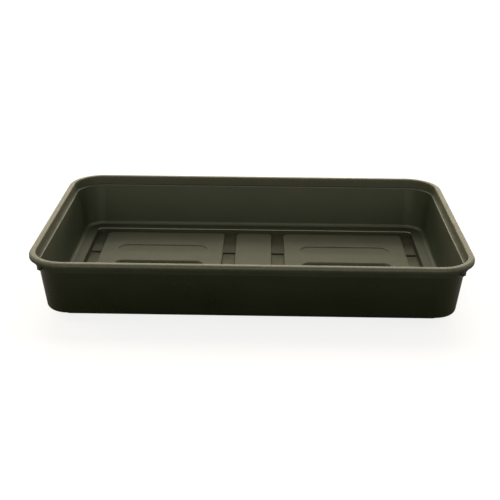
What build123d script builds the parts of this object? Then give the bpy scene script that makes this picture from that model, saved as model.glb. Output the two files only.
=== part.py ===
"""Potting soil tray: a thin-walled moulded tray with a loose slotted floor insert in its sunken well.

Millimetres, +Z up. The origin is the middle of the flat underside that the tray stands on.
X runs along the tray's long side and Y across it. The tray mirrors itself in both directions.
"""
from build123d import *
from math import radians, sqrt, tan
import os

# Tray, overall
tray_length = 380.0
tray_width = 240.0
tray_height = 58.1
wall = 1.2

# Rim: an outward lip that turns down, above a straight band and an inner stacking shoulder
lip_width = 5.6
lip_drop = 4.3
lip_outer_round = 2.4
lip_inner_round = 0.9
shoulder_drop = 8.4
shoulder_width = 2.8
shoulder_edge_round = 1.0

# Stacking lugs: one web under the rim at each corner, which reaches a little below the shoulder
lug_inset = 2.4
lug_width = 3.4
lug_reach = 1.0

# Side wall, which leans in towards the floor
wall_lean = 5.3
wall_foot_round = 3.8
wall_heel_round = 3.6

# Floor: a level border along the walls, then a sunken well
border_width = 12.8
border_edge_bevel = 0.5
well_depth = 6.4
well_lean = 0.6
well_heel_bevel = 0.8
well_corner_radius = 6.4

# Slotted insert that lies in the well
insert_clearance = 0.6
insert_corner_radius = 5.0
insert_skin = 1.1
panel_height = 2.7
panel_edge_bevel = 0.4
panel_draft_angle = 8.0
strip_width = 36.0
channel_width = 12.7
end_channel_width = 10.1
bar_height = 1.65
bar_width = 20.0
bar_edge_bevel = 0.4
bar_pitch = 52.4

# Windows and grooves in the two wide panels
slot_end_margin = 16.75
window_width = 35.4
window_corner_radius = 8.5
groove_width = 18.5
groove_depth = 0.9
groove_pitch = 48.9

# How far a cutting or joining body runs on past the face that it meets
overrun = 0.5

# Heights above the ground
well_floor_z = wall
border_z = well_floor_z + well_depth
shoulder_z = tray_height - shoulder_drop
lug_z = shoulder_z - wall - lug_reach
panel_z = well_floor_z + panel_height
bar_z = well_floor_z + bar_height

# Distances inwards from the lip's outer face
wall_top_inset = lip_width + shoulder_width
wall_foot_inset = wall_top_inset + wall_lean
well_edge_inset = wall_foot_inset + border_width
well_foot_inset = well_edge_inset + well_lean
well_slope = well_lean / well_depth
floor_plate_inset = well_foot_inset + 2 * well_heel_bevel

# All plan corners share one centre, so the lip's corner radius follows from the well's
lip_corner_radius = well_edge_inset + well_corner_radius
floor_plate_radius = lip_corner_radius - floor_plate_inset

# Outline of the insert, drawn in from the foot of the well's wall
insert_length = tray_length - 2 * (well_foot_inset + insert_clearance)
insert_width = tray_width - 2 * (well_foot_inset + insert_clearance)
panel_outer_x = insert_length / 2 - end_channel_width
panel_inner_x = strip_width / 2 + channel_width
panel_length = panel_outer_x - panel_inner_x
slot_length = panel_length - 2 * slot_end_margin
panel_x = (panel_outer_x + panel_inner_x) / 2
panel_flare = panel_height * tan(radians(panel_draft_angle))

os.makedirs("parts", exist_ok=True)


# The tray: one section of the moulding is swept round the lip's outline, and a flat plate closes
# the well's floor. In the section the first axis runs inwards and the second one up.
upper_skin = [
    (0, tray_height - lip_drop),
    (0, tray_height),
    (lip_width, tray_height),
    (lip_width, shoulder_z),
    (wall_top_inset, shoulder_z),
    (wall_foot_inset, border_z),
    (well_edge_inset - border_edge_bevel, border_z),
    (well_edge_inset + well_slope * border_edge_bevel, border_z - border_edge_bevel),
    (well_foot_inset, well_floor_z),
    (floor_plate_inset, well_floor_z),
]
upper_rounds = [
    lip_outer_round,
    lip_inner_round,
    0,
    shoulder_edge_round,
    wall_foot_round,
    0,
    0,
    0,
]
lower_skin = [
    (wall, tray_height - lip_drop),
    (wall, tray_height - wall),
    (lip_width - wall, tray_height - wall),
    (lip_width - wall, shoulder_z - wall),
    (wall_top_inset - wall, shoulder_z - wall),
    (wall_foot_inset - wall, border_z - wall),
    (well_edge_inset - wall, border_z - wall),
    (well_foot_inset - wall - well_slope * well_heel_bevel, well_floor_z - wall + well_heel_bevel),
    (well_foot_inset - wall + well_heel_bevel, well_floor_z - wall),
    (floor_plate_inset, well_floor_z - wall),
]
lower_rounds = [0, 0, 0, 0, wall_heel_round, 0, 0, 0]
half_outline = [
    (0, -tray_width / 2),
    (tray_length / 2, -tray_width / 2),
    (tray_length / 2, tray_width / 2),
    (0, tray_width / 2),
]
section_plane = Plane(origin=(0, -tray_width / 2, 0), x_dir=(0, 1, 0), z_dir=(1, 0, 0))
lug_outline = [
    (lug_inset, lug_z),
    (wall_top_inset - wall / 2, lug_z),
    (wall_top_inset - wall / 2, shoulder_z - wall / 2),
    (lip_width - wall / 2, shoulder_z - wall / 2),
    (lip_width - wall / 2, tray_height - wall / 2),
    (lug_inset, tray_height - wall / 2),
]


def lug_plane(side_x, side_y):
    """Upright plane through the middle of a corner. Its first axis runs inwards from the lip."""
    bend = lip_corner_radius * (1 - sqrt(1 / 2))
    corner = (side_x * (tray_length / 2 - bend), side_y * (tray_width / 2 - bend), 0)
    inwards = Vector(-side_x, -side_y, 0)
    return Plane(origin=corner, x_dir=inwards, z_dir=inwards.cross(Vector(0, 0, 1)))


with BuildPart() as tray:
    with BuildLine() as half_lip:
        FilletPolyline(half_outline, radius=lip_corner_radius)
    with BuildSketch(section_plane):
        with BuildLine():
            FilletPolyline(upper_skin, radius=upper_rounds)
            FilletPolyline(lower_skin, radius=lower_rounds)
            Line(upper_skin[0], lower_skin[0])
            Line(upper_skin[-1], lower_skin[-1])
        make_face()
    sweep(path=half_lip.wire())
    mirror(about=Plane.YZ)
    with BuildSketch():
        RectangleRounded(
            tray_length - 2 * floor_plate_inset,
            tray_width - 2 * floor_plate_inset,
            floor_plate_radius,
        )
    extrude(amount=well_floor_z)
    for side_x in (-1, 1):
        for side_y in (-1, 1):
            with BuildSketch(lug_plane(side_x, side_y)):
                Polygon(lug_outline, align=None)
            extrude(amount=lug_width / 2, both=True)
tray.part.label = "tray"


def level_rectangle(height, centre, length, width, radius):
    """Rounded rectangle on a level plane, as a sketch."""
    with BuildSketch(Plane.XY.offset(height)) as outline:
        with Locations(centre):
            RectangleRounded(length, width, radius)
    return outline.sketch


def groove_pair(height, centre_x, margin):
    """Two long round-ended outlines, one on each side of a panel's window."""
    with BuildSketch(Plane.XY.offset(height)) as outline:
        with Locations((centre_x, groove_pitch), (centre_x, -groove_pitch)):
            SlotOverall(slot_length + 2 * margin, groove_width + 2 * margin)
    return outline.sketch


# The insert: two wide panels and a centre strip, hollow below, tied by low bars with open pockets
# between them. The end bars run on to the well's wall and keep the insert in place.
platforms = [(-panel_x, panel_length), (0, strip_width), (panel_x, panel_length)]
panel_centres = (-panel_x, panel_x)

with BuildPart() as insert:
    for x, length in platforms:
        foot_length = length + 2 * panel_flare
        foot = level_rectangle(well_floor_z, (x, 0), foot_length, insert_width, insert_corner_radius)
        extrude(foot, amount=panel_height, taper=panel_draft_angle)
    for x, length in platforms:
        hollow_length = length + 2 * panel_flare - 2 * insert_skin
        hollow_width = insert_width - 2 * insert_skin
        hollow = level_rectangle(
            well_floor_z, (x, 0), hollow_length, hollow_width, insert_corner_radius - insert_skin
        )
        extrude(
            hollow, amount=panel_height - insert_skin, taper=panel_draft_angle, mode=Mode.SUBTRACT
        )

    # Skirts that carry each window's edge down to the floor, and the skin under each groove
    for x in panel_centres:
        skirt = level_rectangle(
            well_floor_z,
            (x, 0),
            slot_length + 2 * insert_skin,
            window_width + 2 * insert_skin,
            window_corner_radius + insert_skin,
        )
        extrude(skirt, amount=panel_height - insert_skin / 2)
        trough = groove_pair(panel_z - insert_skin / 2, x, insert_skin)
        extrude(trough, amount=-(groove_depth + insert_skin / 2))

    # Low bars: each one between the panels also ends in their sides
    channel_centre = (strip_width + channel_width) / 2
    end_channel_centre = (panel_outer_x + insert_length / 2 - insert_skin / 2) / 2
    with BuildSketch(Plane.XY.offset(well_floor_z)):
        with GridLocations(2 * channel_centre, bar_pitch, 2, 3):
            Rectangle(channel_width + insert_skin, bar_width)
        with GridLocations(2 * end_channel_centre, bar_pitch, 2, 3):
            Rectangle(end_channel_width + insert_skin / 2, bar_width)
    extrude(amount=bar_height)

    # Windows right through the panels, and shallow grooves on both sides of them
    for x in panel_centres:
        window = level_rectangle(
            well_floor_z - overrun, (x, 0), slot_length, window_width, window_corner_radius
        )
        extrude(window, amount=panel_height + 2 * overrun, mode=Mode.SUBTRACT)
        groove = groove_pair(panel_z - groove_depth, x, 0)
        extrude(groove, amount=groove_depth + overrun, mode=Mode.SUBTRACT)

    chamfer(insert.edges().group_by(Axis.Z)[-1], length=panel_edge_bevel)
    bar_edges = insert.edges().filter_by(Axis.X).filter_by_position(Axis.Z, bar_z, bar_z)
    chamfer(bar_edges, length=bar_edge_bevel)
insert.part.label = "drainage_insert"

for name, piece in (("tray", tray.part), ("drainage_insert", insert.part)):
    print(name, "valid", piece.is_valid, "volume", round(piece.volume), piece.bounding_box())
    export_step(piece, "parts/" + name + ".step")
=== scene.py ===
"""Looks of the potting soil tray: dark olive plastic, soft studio light and the photo's camera.

Metres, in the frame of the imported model: +Z up, X along the tray, and the camera on the -Y side.
"""
from math import cos, sin

import bpy
from mathutils import Matrix, Vector

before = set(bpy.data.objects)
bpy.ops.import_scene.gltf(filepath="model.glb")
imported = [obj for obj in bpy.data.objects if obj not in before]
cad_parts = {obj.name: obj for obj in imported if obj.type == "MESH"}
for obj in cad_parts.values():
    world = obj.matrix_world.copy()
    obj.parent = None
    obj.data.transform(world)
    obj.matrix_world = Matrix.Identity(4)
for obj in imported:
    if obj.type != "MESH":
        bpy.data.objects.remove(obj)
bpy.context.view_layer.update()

# Camera: its place, its turn and the focal length in pixels of a 500 pixel wide image
CAMERA_PLACE = Vector((0.012069, -0.839238, 0.371574))
CAMERA_YAW = -0.017508
CAMERA_PITCH = 0.393227
CAMERA_ROLL = -0.006916
FOCAL_PIXELS = 954.375
IMAGE_PIXELS = 500
SENSOR_WIDTH_MM = 36.0
CLIP_START = 0.01
CLIP_END = 60

# Floor: its colour, and how bright rays see it over the distances from near the tray to far away
FLOOR_HALF = 9.0
FLOOR_GAP = 0.0001
FLOOR_COLOUR = (0.35, 0.35, 0.35, 1)
FLOOR_DISTANCES = (0.35, 1.2)
SEEN_LIFT = (0.82, 1.0)
MIRRORED_LIFT = (0.0, 1.0)
WHITE = (1, 1, 1, 1)

# Softboxes: place, width and height, power in watts, and colour. All look at one point in the tray.
PLAIN_LAMP = (1.0, 0.98, 0.90)
WARM_LAMP = (1.0, 0.88, 0.60)
AIM = Vector((0, 0, 0.03))
SOFTBOXES = {
    "low_back_softbox": ((0, 1.5, 0.35), 2.6, 0.4, 19.2, WARM_LAMP),
    "upper_back_softbox": ((0, 1.2, 1.05), 2.6, 0.5, 8.1, WARM_LAMP),
    "high_back_softbox": ((0, 0.8, 1.3), 1.6, 0.9, 13.2, PLAIN_LAMP),
    "front_softbox": ((0, -1.6, 0.5), 1.6, 0.6, 9.8, PLAIN_LAMP),
    "left_softbox": ((-1.3, 0.1, 0.9), 1.2, 0.8, 6.2, WARM_LAMP),
    "right_softbox": ((1.3, 0.1, 0.9), 1.2, 0.8, 3.5, WARM_LAMP),
}

# Colours of the plastic, of what lies or wears on it, and of the light and highlights painted on it
DEEP_OLIVE = (0.0066, 0.0100, 0.0036, 1)
PALE_OLIVE = (0.0102, 0.0138, 0.0060, 1)
RUB_AND_HIGHLIGHT_OLIVE = (0.0900, 0.0860, 0.0620, 1)
EDGE_WEAR_AND_HIGHLIGHT = (0.0850, 0.0830, 0.0600, 1)
DUST = (0.1500, 0.1400, 0.1100, 1)
FILM = (0.0270, 0.0270, 0.0155, 1)
RIM_PAINTED_LIGHT = (0.0800, 0.0780, 0.0540, 1)
EDGE_PAINTED_LIGHT = (0.2800, 0.2700, 0.1900, 1)

# Noises: features per metre, octaves and roughness
BLOTCH = (21, 4, 0.55)
FLOW = (95, 5, 0.6)
SETTLING = (46, 4, 0.6)
PATCHES = (130, 5, 0.65)
SCUFFS = (620, 3, 0.6)
SPECKS = (900, 1, 0.5)
CLOUD = (34, 4, 0.6)
SLACK = (13, 2, 0.5)
GRAIN = (1500, 3, 0.6)

# A mask from nothing to all, the factors that keep only the level parts of a place, and those that
# draw marks out along the tray
WHOLE = (0.0, 1.0)
LEVEL_PARTS = (1, 1, 0)
FLOW_STRETCH = (0.14, 1, 1)

# Spans of a noise over which its mask comes in, and the least and greatest share of what it masks
BLOTCH_SHARE = 0.6
FLOW_SHARE = 0.4
TONE_SPAN = (0.38, 0.62)
SETTLING_SPAN = (0.3, 0.6)
SETTLING_SHARES = (0.55, 1.0)
PATCH_SPAN = (0.46, 0.68)
SCUFF_SPAN = (0.55, 0.72)
RUB_SHARES = (0.45, 1.0)
SPECK_SPAN = (0.74, 0.8)
SPECK_SHARES = (0.0, 0.5)
CLOUD_SPAN = (0.35, 0.65)

# Spans of a normal's parts: outwards, along the tray's width, and upwards
OUTWARD_SPAN = (0.05, 0.35)
BROADSIDE_SPAN = (0.2, 0.45)
UPRIGHT_SPAN = (0.3, 0.8)
BEVEL_FROM_WALL = (0.30, 0.45)
BEVEL_TO_LEVEL = (0.90, 0.97)

# Heights over which the outside ends at the lip, and the rim's inner side starts, with the greatest
# share of painted light on that inner side
OUTSIDE_END = (0.0540, 0.0560)
INNER_RIM_START = (0.0485, 0.0500)
PAINTED_RIM_LIGHT_SHARE = 0.6

# Bounds of the windows' walls, where light is painted, from the middle of the tray, and their
# greatest height
WINDOW_SIDE = (0.0180, 0.0184)
WINDOW_NEAR_END = (0.0463, 0.0467)
WINDOW_FAR_END = (0.1362, 0.1366)
WINDOW_TOP = (0.0040, 0.0060)

# Heights of the bevel between the floor's border and the well, which carries a painted highlight
BORDER_EDGE_START = (0.0068, 0.0070)
BORDER_EDGE_END = (0.0077, 0.0079)

# Worn edges with a painted highlight: the radius that finds them, and how well the rounded normal
# still matches the true one
EDGE_RADIUS = 0.0005
EDGE_SAMPLES = 4
EDGE_MATCH = (0.995, 0.86)

# Gloss, and relief as strength and distance
SPECULAR_LEVEL = 0.5
SPECULAR_TINT = (1.0, 0.98, 0.72, 1)
ROUGHNESS = (0.31, 0.37)
RUB_ROUGHNESS = 0.1
OUTSIDE_GLOSS = -0.2
SLACK_RELIEF = (0.35, 0.0016)
GRAIN_RELIEF = (0.22, 0.0001)

# Each moulding: the heights over which rubbing, partly a painted highlight, comes in, the mould's
# gloss turns matt and the film of dust ends, with the greatest share of rubbing and the rise in
# roughness
TRAY_LOOKS = {
    "rub_and_highlight_start": (0.0545, 0.0562),
    "rub_and_highlight_share": 0.65,
    "matt_start": (0.0013, 0.0020),
    "matt_rise": 0.16,
    "film_end": (0.0013, 0.0020),
}
INSERT_LOOKS = {
    "rub_and_highlight_start": (0.0034, 0.0042),
    "rub_and_highlight_share": 0.22,
    "matt_start": (0.00287, 0.00297),
    "matt_rise": 0.18,
    "film_end": (0.0040, 0.0060),
}


def add_camera():
    """Puts the camera where the photograph was taken from."""
    ahead = Vector((
        sin(CAMERA_YAW) * cos(CAMERA_PITCH),
        cos(CAMERA_YAW) * cos(CAMERA_PITCH),
        -sin(CAMERA_PITCH),
    ))
    level_right = Vector((cos(CAMERA_YAW), -sin(CAMERA_YAW), 0))
    level_down = ahead.cross(level_right)
    right = cos(CAMERA_ROLL) * level_right + sin(CAMERA_ROLL) * level_down
    down = cos(CAMERA_ROLL) * level_down - sin(CAMERA_ROLL) * level_right
    turn = Matrix((right, -down, -ahead)).transposed()

    data = bpy.data.cameras.new("camera")
    data.sensor_width = SENSOR_WIDTH_MM
    data.lens = FOCAL_PIXELS / IMAGE_PIXELS * SENSOR_WIDTH_MM
    data.clip_start = CLIP_START
    data.clip_end = CLIP_END
    camera = bpy.data.objects.new("camera", data)
    camera.matrix_world = Matrix.Translation(CAMERA_PLACE) @ turn.to_4x4()
    bpy.context.scene.collection.objects.link(camera)
    bpy.context.scene.camera = camera


class Graph:
    """A node tree with short ways to add nodes and links."""

    # Where a Mix node that blends colours has its two colours and its result
    MIX_FIRST = 6
    MIX_SECOND = 7
    MIX_RESULT = 2

    def __init__(self, tree):
        self.tree = tree
        tree.nodes.clear()

    def add(self, kind, values=None, **settings):
        """Adds a node. Its values are sockets' names with a number, a colour or a node's output."""
        node = self.tree.nodes.new(kind)
        for name, value in settings.items():
            setattr(node, name, value)
        for name, value in (values or {}).items():
            if isinstance(value, bpy.types.NodeSocket):
                self.tree.links.new(value, node.inputs[name])
            else:
                node.inputs[name].default_value = value
        return node

    def noise(self, place, scale, detail, roughness):
        """Noise with about `scale` features per metre, as a number."""
        values = {"Vector": place, "Scale": scale, "Detail": detail, "Roughness": roughness}
        return self.add("ShaderNodeTexNoise", values).outputs["Fac"]

    def rise(self, value, span, ends=WHOLE):
        """Goes from the first of the ends to the second one while the value crosses the span."""
        values = {"Value": value, "From Min": span[0], "From Max": span[1]}
        values.update({"To Min": ends[0], "To Max": ends[1]})
        return self.add("ShaderNodeMapRange", values).outputs["Result"]

    def fall(self, value, span):
        """Goes from 1 to 0 while the value crosses the span."""
        return self.rise(value, span, WHOLE[::-1])

    def maths(self, operation, first, second):
        """One step of arithmetic on two values."""
        return self.add("ShaderNodeMath", {0: first, 1: second}, operation=operation).outputs[0]

    def product(self, first, *others):
        """All the values multiplied, which keeps what every mask lets through."""
        for other in others:
            first = self.maths("MULTIPLY", first, other)
        return first

    def unsigned(self, value):
        """The value without its sign."""
        return self.add("ShaderNodeMath", {0: value}, operation="ABSOLUTE").outputs[0]

    def blend(self, share, first, second):
        """Goes from the first colour to the second one."""
        node = self.add("ShaderNodeMix", {"Factor": share}, data_type="RGBA")
        for index, value in ((self.MIX_FIRST, first), (self.MIX_SECOND, second)):
            if isinstance(value, bpy.types.NodeSocket):
                self.tree.links.new(value, node.inputs[index])
            else:
                node.inputs[index].default_value = value
        return node.outputs[self.MIX_RESULT]

    def vector(self, operation, *vectors):
        """One step of vector arithmetic, as the outputs of its node."""
        values = dict(enumerate(vectors))
        return self.add("ShaderNodeVectorMath", values, operation=operation).outputs

    def stretch(self, place, scale):
        """A place with each of its parts multiplied."""
        return self.add("ShaderNodeMapping", {"Vector": place, "Scale": scale}).outputs["Vector"]

    def parts(self, vector):
        """The X, Y and Z of a vector."""
        return self.add("ShaderNodeSeparateXYZ", {"Vector": vector}).outputs

    def relief(self, height, strength_and_distance, normal=None):
        """A normal that follows small heights, on top of another one if that is given."""
        strength, distance = strength_and_distance
        values = {"Height": height, "Strength": strength, "Distance": distance}
        if normal:
            values["Normal"] = normal
        return self.add("ShaderNodeBump", values).outputs["Normal"]


def new_material(name):
    """A node material with an empty graph."""
    material = bpy.data.materials.new(name)
    material.use_nodes = True
    return material, Graph(material.node_tree)


def add_floor():
    """A pale floor that the camera sees as white, with the tray's soft shadow on it."""
    mesh = bpy.data.meshes.new("floor")
    h, z = FLOOR_HALF, -FLOOR_GAP
    mesh.from_pydata([(-h, -h, z), (h, -h, z), (h, h, z), (-h, h, z)], [], [(0, 1, 2, 3)])
    floor = bpy.data.objects.new("floor", mesh)
    bpy.context.scene.collection.objects.link(floor)
    material, graph = new_material("floor")
    pale = graph.add("ShaderNodeBsdfDiffuse", {"Color": FLOOR_COLOUR})
    path = graph.add("ShaderNodeLightPath").outputs
    place = graph.add("ShaderNodeTexCoord").outputs["Object"]
    away = graph.vector("LENGTH", place)["Value"]
    seen = graph.product(path["Is Camera Ray"], graph.rise(away, FLOOR_DISTANCES, SEEN_LIFT))
    mirrored = graph.maths("MAXIMUM", path["Is Glossy Ray"], path["Is Transmission Ray"])
    mirrored = graph.product(mirrored, graph.rise(away, FLOOR_DISTANCES, MIRRORED_LIFT))
    lift = graph.maths("ADD", seen, mirrored)
    white = graph.add("ShaderNodeEmission", {"Color": WHITE, "Strength": lift})
    both = graph.add("ShaderNodeAddShader", {0: pale.outputs[0], 1: white.outputs[0]})
    graph.add("ShaderNodeOutputMaterial", {"Surface": both.outputs[0]})
    mesh.materials.append(material)


def add_softbox(name, place, width, height, power, colour):
    """A rectangular soft light that looks at the tray."""
    data = bpy.data.lights.new(name, "AREA")
    data.shape = "RECTANGLE"
    data.size = width
    data.size_y = height
    data.energy = power
    data.color = colour
    light = bpy.data.objects.new(name, data)
    look = (AIM - Vector(place)).normalized()
    turn = look.to_track_quat("-Z", "Y").to_matrix()
    light.matrix_world = Matrix.Translation(place) @ turn.to_4x4()
    bpy.context.scene.collection.objects.link(light)


def add_world():
    """White surroundings for the camera, reflections and glass. Only the softboxes give light."""
    world = bpy.data.worlds.new("studio")
    world.use_nodes = True
    graph = Graph(world.node_tree)
    path = graph.add("ShaderNodeLightPath").outputs
    seen = graph.maths("MAXIMUM", path["Is Camera Ray"], path["Is Glossy Ray"])
    seen = graph.maths("MAXIMUM", seen, path["Is Transmission Ray"])
    surround = graph.add("ShaderNodeBackground", {"Color": WHITE, "Strength": seen})
    graph.add("ShaderNodeOutputWorld", {"Surface": surround.outputs[0]})
    bpy.context.scene.world = world


def outward_mask(graph, place, normal):
    """Where a wall faces away from the middle of the tray."""
    away = graph.stretch(place, LEVEL_PARTS)
    away = graph.vector("NORMALIZE", away)["Vector"]
    facing = graph.vector("DOT_PRODUCT", away, normal)["Value"]
    return graph.rise(facing, OUTWARD_SPAN)


def painted_window_light_mask(graph, place, upright):
    """The upright walls of the windows in the insert's panels, which lie in shade and get painted
    light.
    """
    x, y, height = graph.parts(place)
    sides = graph.product(upright, graph.fall(graph.unsigned(y), WINDOW_SIDE))
    across = graph.unsigned(x)
    ends = graph.product(graph.rise(across, WINDOW_NEAR_END), graph.fall(across, WINDOW_FAR_END))
    return graph.product(sides, ends, graph.fall(height, WINDOW_TOP))


def painted_border_highlight_mask(graph, height, broadside, tilt):
    """The bevel between the floor's border and the well, along the two long sides, where a
    highlight is painted.
    """
    bevel = graph.product(graph.rise(tilt, BEVEL_FROM_WALL), graph.fall(tilt, BEVEL_TO_LEVEL))
    band = graph.product(graph.rise(height, BORDER_EDGE_START), graph.fall(height, BORDER_EDGE_END))
    return graph.product(bevel, band, graph.rise(broadside, BROADSIDE_SPAN))


def edge_mask(graph):
    """Sharp edges, where the rounded normal leaves the true one."""
    bevel = graph.add("ShaderNodeBevel", {"Radius": EDGE_RADIUS}, samples=EDGE_SAMPLES)
    rounded = bevel.outputs["Normal"]
    true_normal = graph.add("ShaderNodeNewGeometry").outputs["Normal"]
    match = graph.vector("DOT_PRODUCT", rounded, true_normal)["Value"]
    return graph.rise(match, EDGE_MATCH)


def plastic(name, rub_and_highlight_start, rub_and_highlight_share, matt_start, matt_rise, film_end):
    """Moulded olive plastic with flow marks, a fine grain, dust and rubbed places, with painted
    light on the rim's inner side and the windows' walls, and painted highlights on edges and the
    rim's crown.
    """
    material, graph = new_material(name)
    place = graph.add("ShaderNodeTexCoord").outputs["Object"]
    drawn = graph.stretch(place, FLOW_STRETCH)
    height = graph.parts(place)["Z"]
    normal = graph.add("ShaderNodeTexCoord").outputs["Normal"]
    turn = graph.parts(normal)
    tilt = turn["Z"]
    upright = graph.fall(graph.unsigned(tilt), UPRIGHT_SPAN)
    outward = outward_mask(graph, place, normal)

    # Tone: broad blotches and long flow marks
    blotch = graph.product(graph.noise(place, *BLOTCH), BLOTCH_SHARE)
    flow = graph.product(graph.noise(drawn, *FLOW), FLOW_SHARE)
    tone = graph.maths("ADD", blotch, flow)
    colour = graph.blend(graph.rise(tone, TONE_SPAN), DEEP_OLIVE, PALE_OLIVE)

    # Fine dust on the low surfaces, thinner in patches
    settled = graph.rise(graph.noise(place, *SETTLING), SETTLING_SPAN, SETTLING_SHARES)
    settled = graph.product(settled, graph.fall(height, film_end))
    colour = graph.blend(settled, colour, FILM)

    # Painted light: the rim's inner side and the windows' upright walls made paler as if lit, and a
    # painted highlight on the border's edge
    inward = graph.fall(outward, WHOLE)
    painted_rim_light = graph.product(inward, graph.rise(height, INNER_RIM_START), upright, PAINTED_RIM_LIGHT_SHARE)
    colour = graph.blend(painted_rim_light, colour, RIM_PAINTED_LIGHT)
    # Painted light on the windows' walls, which lie in shade
    colour = graph.blend(painted_window_light_mask(graph, place, upright), colour, EDGE_PAINTED_LIGHT)
    # Painted highlight on the border's bevel, along the long sides only
    painted_border_highlight = painted_border_highlight_mask(graph, height, graph.unsigned(turn["Y"]), tilt)
    colour = graph.blend(painted_border_highlight, colour, EDGE_PAINTED_LIGHT)

    # Rubbed heights and edges: wear, and in part a painted highlight on the rim's crown and the
    # sharp edges
    patches = graph.rise(graph.noise(place, *PATCHES), PATCH_SPAN)
    scuffs = graph.rise(graph.noise(drawn, *SCUFFS), SCUFF_SPAN)
    worn = graph.rise(graph.maths("MAXIMUM", patches, scuffs), WHOLE, RUB_SHARES)
    rub_and_highlight = graph.product(graph.rise(height, rub_and_highlight_start), worn, rub_and_highlight_share)
    colour = graph.blend(rub_and_highlight, colour, RUB_AND_HIGHLIGHT_OLIVE)
    # Sharp edges paler in worn patches: partly wear, partly a painted highlight
    edge = graph.product(edge_mask(graph), graph.rise(patches, WHOLE, RUB_SHARES))
    colour = graph.blend(edge, colour, EDGE_WEAR_AND_HIGHLIGHT)

    # Specks of dust, a few per square centimetre
    specks = graph.rise(graph.noise(place, *SPECKS), SPECK_SPAN, SPECK_SHARES)
    colour = graph.blend(specks, colour, DUST)

    # Gloss: a little uneven, greatest on the lowest surfaces, and greater outside than inside
    roughness = graph.rise(graph.noise(place, *CLOUD), CLOUD_SPAN, ROUGHNESS)
    roughness = graph.maths("ADD", roughness, graph.rise(height, matt_start, (0.0, matt_rise)))
    outside = graph.product(outward, graph.fall(height, OUTSIDE_END))
    roughness = graph.maths("ADD", roughness, graph.product(outside, OUTSIDE_GLOSS))
    roughness = graph.maths("ADD", roughness, graph.product(rub_and_highlight, RUB_ROUGHNESS))

    # Relief: slack in the sheet of the wall, and the mould's fine grain
    relief = graph.relief(graph.noise(place, *SLACK), SLACK_RELIEF)
    relief = graph.relief(graph.noise(place, *GRAIN), GRAIN_RELIEF, relief)

    shader = graph.add("ShaderNodeBsdfPrincipled", {
        "Base Color": colour,
        "Roughness": roughness,
        "Specular IOR Level": SPECULAR_LEVEL,
        "Specular Tint": SPECULAR_TINT,
        "Normal": relief,
    })
    graph.add("ShaderNodeOutputMaterial", {"Surface": shader.outputs[0]})
    return material


def dress(node, material):
    """Gives every material slot of a CAD node the same material."""
    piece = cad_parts[node]
    for slot in piece.material_slots:
        slot.material = material


add_camera()
add_world()
add_floor()
for softbox, values in SOFTBOXES.items():
    add_softbox(softbox, *values)
dress("tray", plastic("tray_plastic_looks", **TRAY_LOOKS))
dress("drainage_insert", plastic("insert_plastic_looks", **INSERT_LOOKS))

bpy.context.scene.view_settings.view_transform = "Standard"
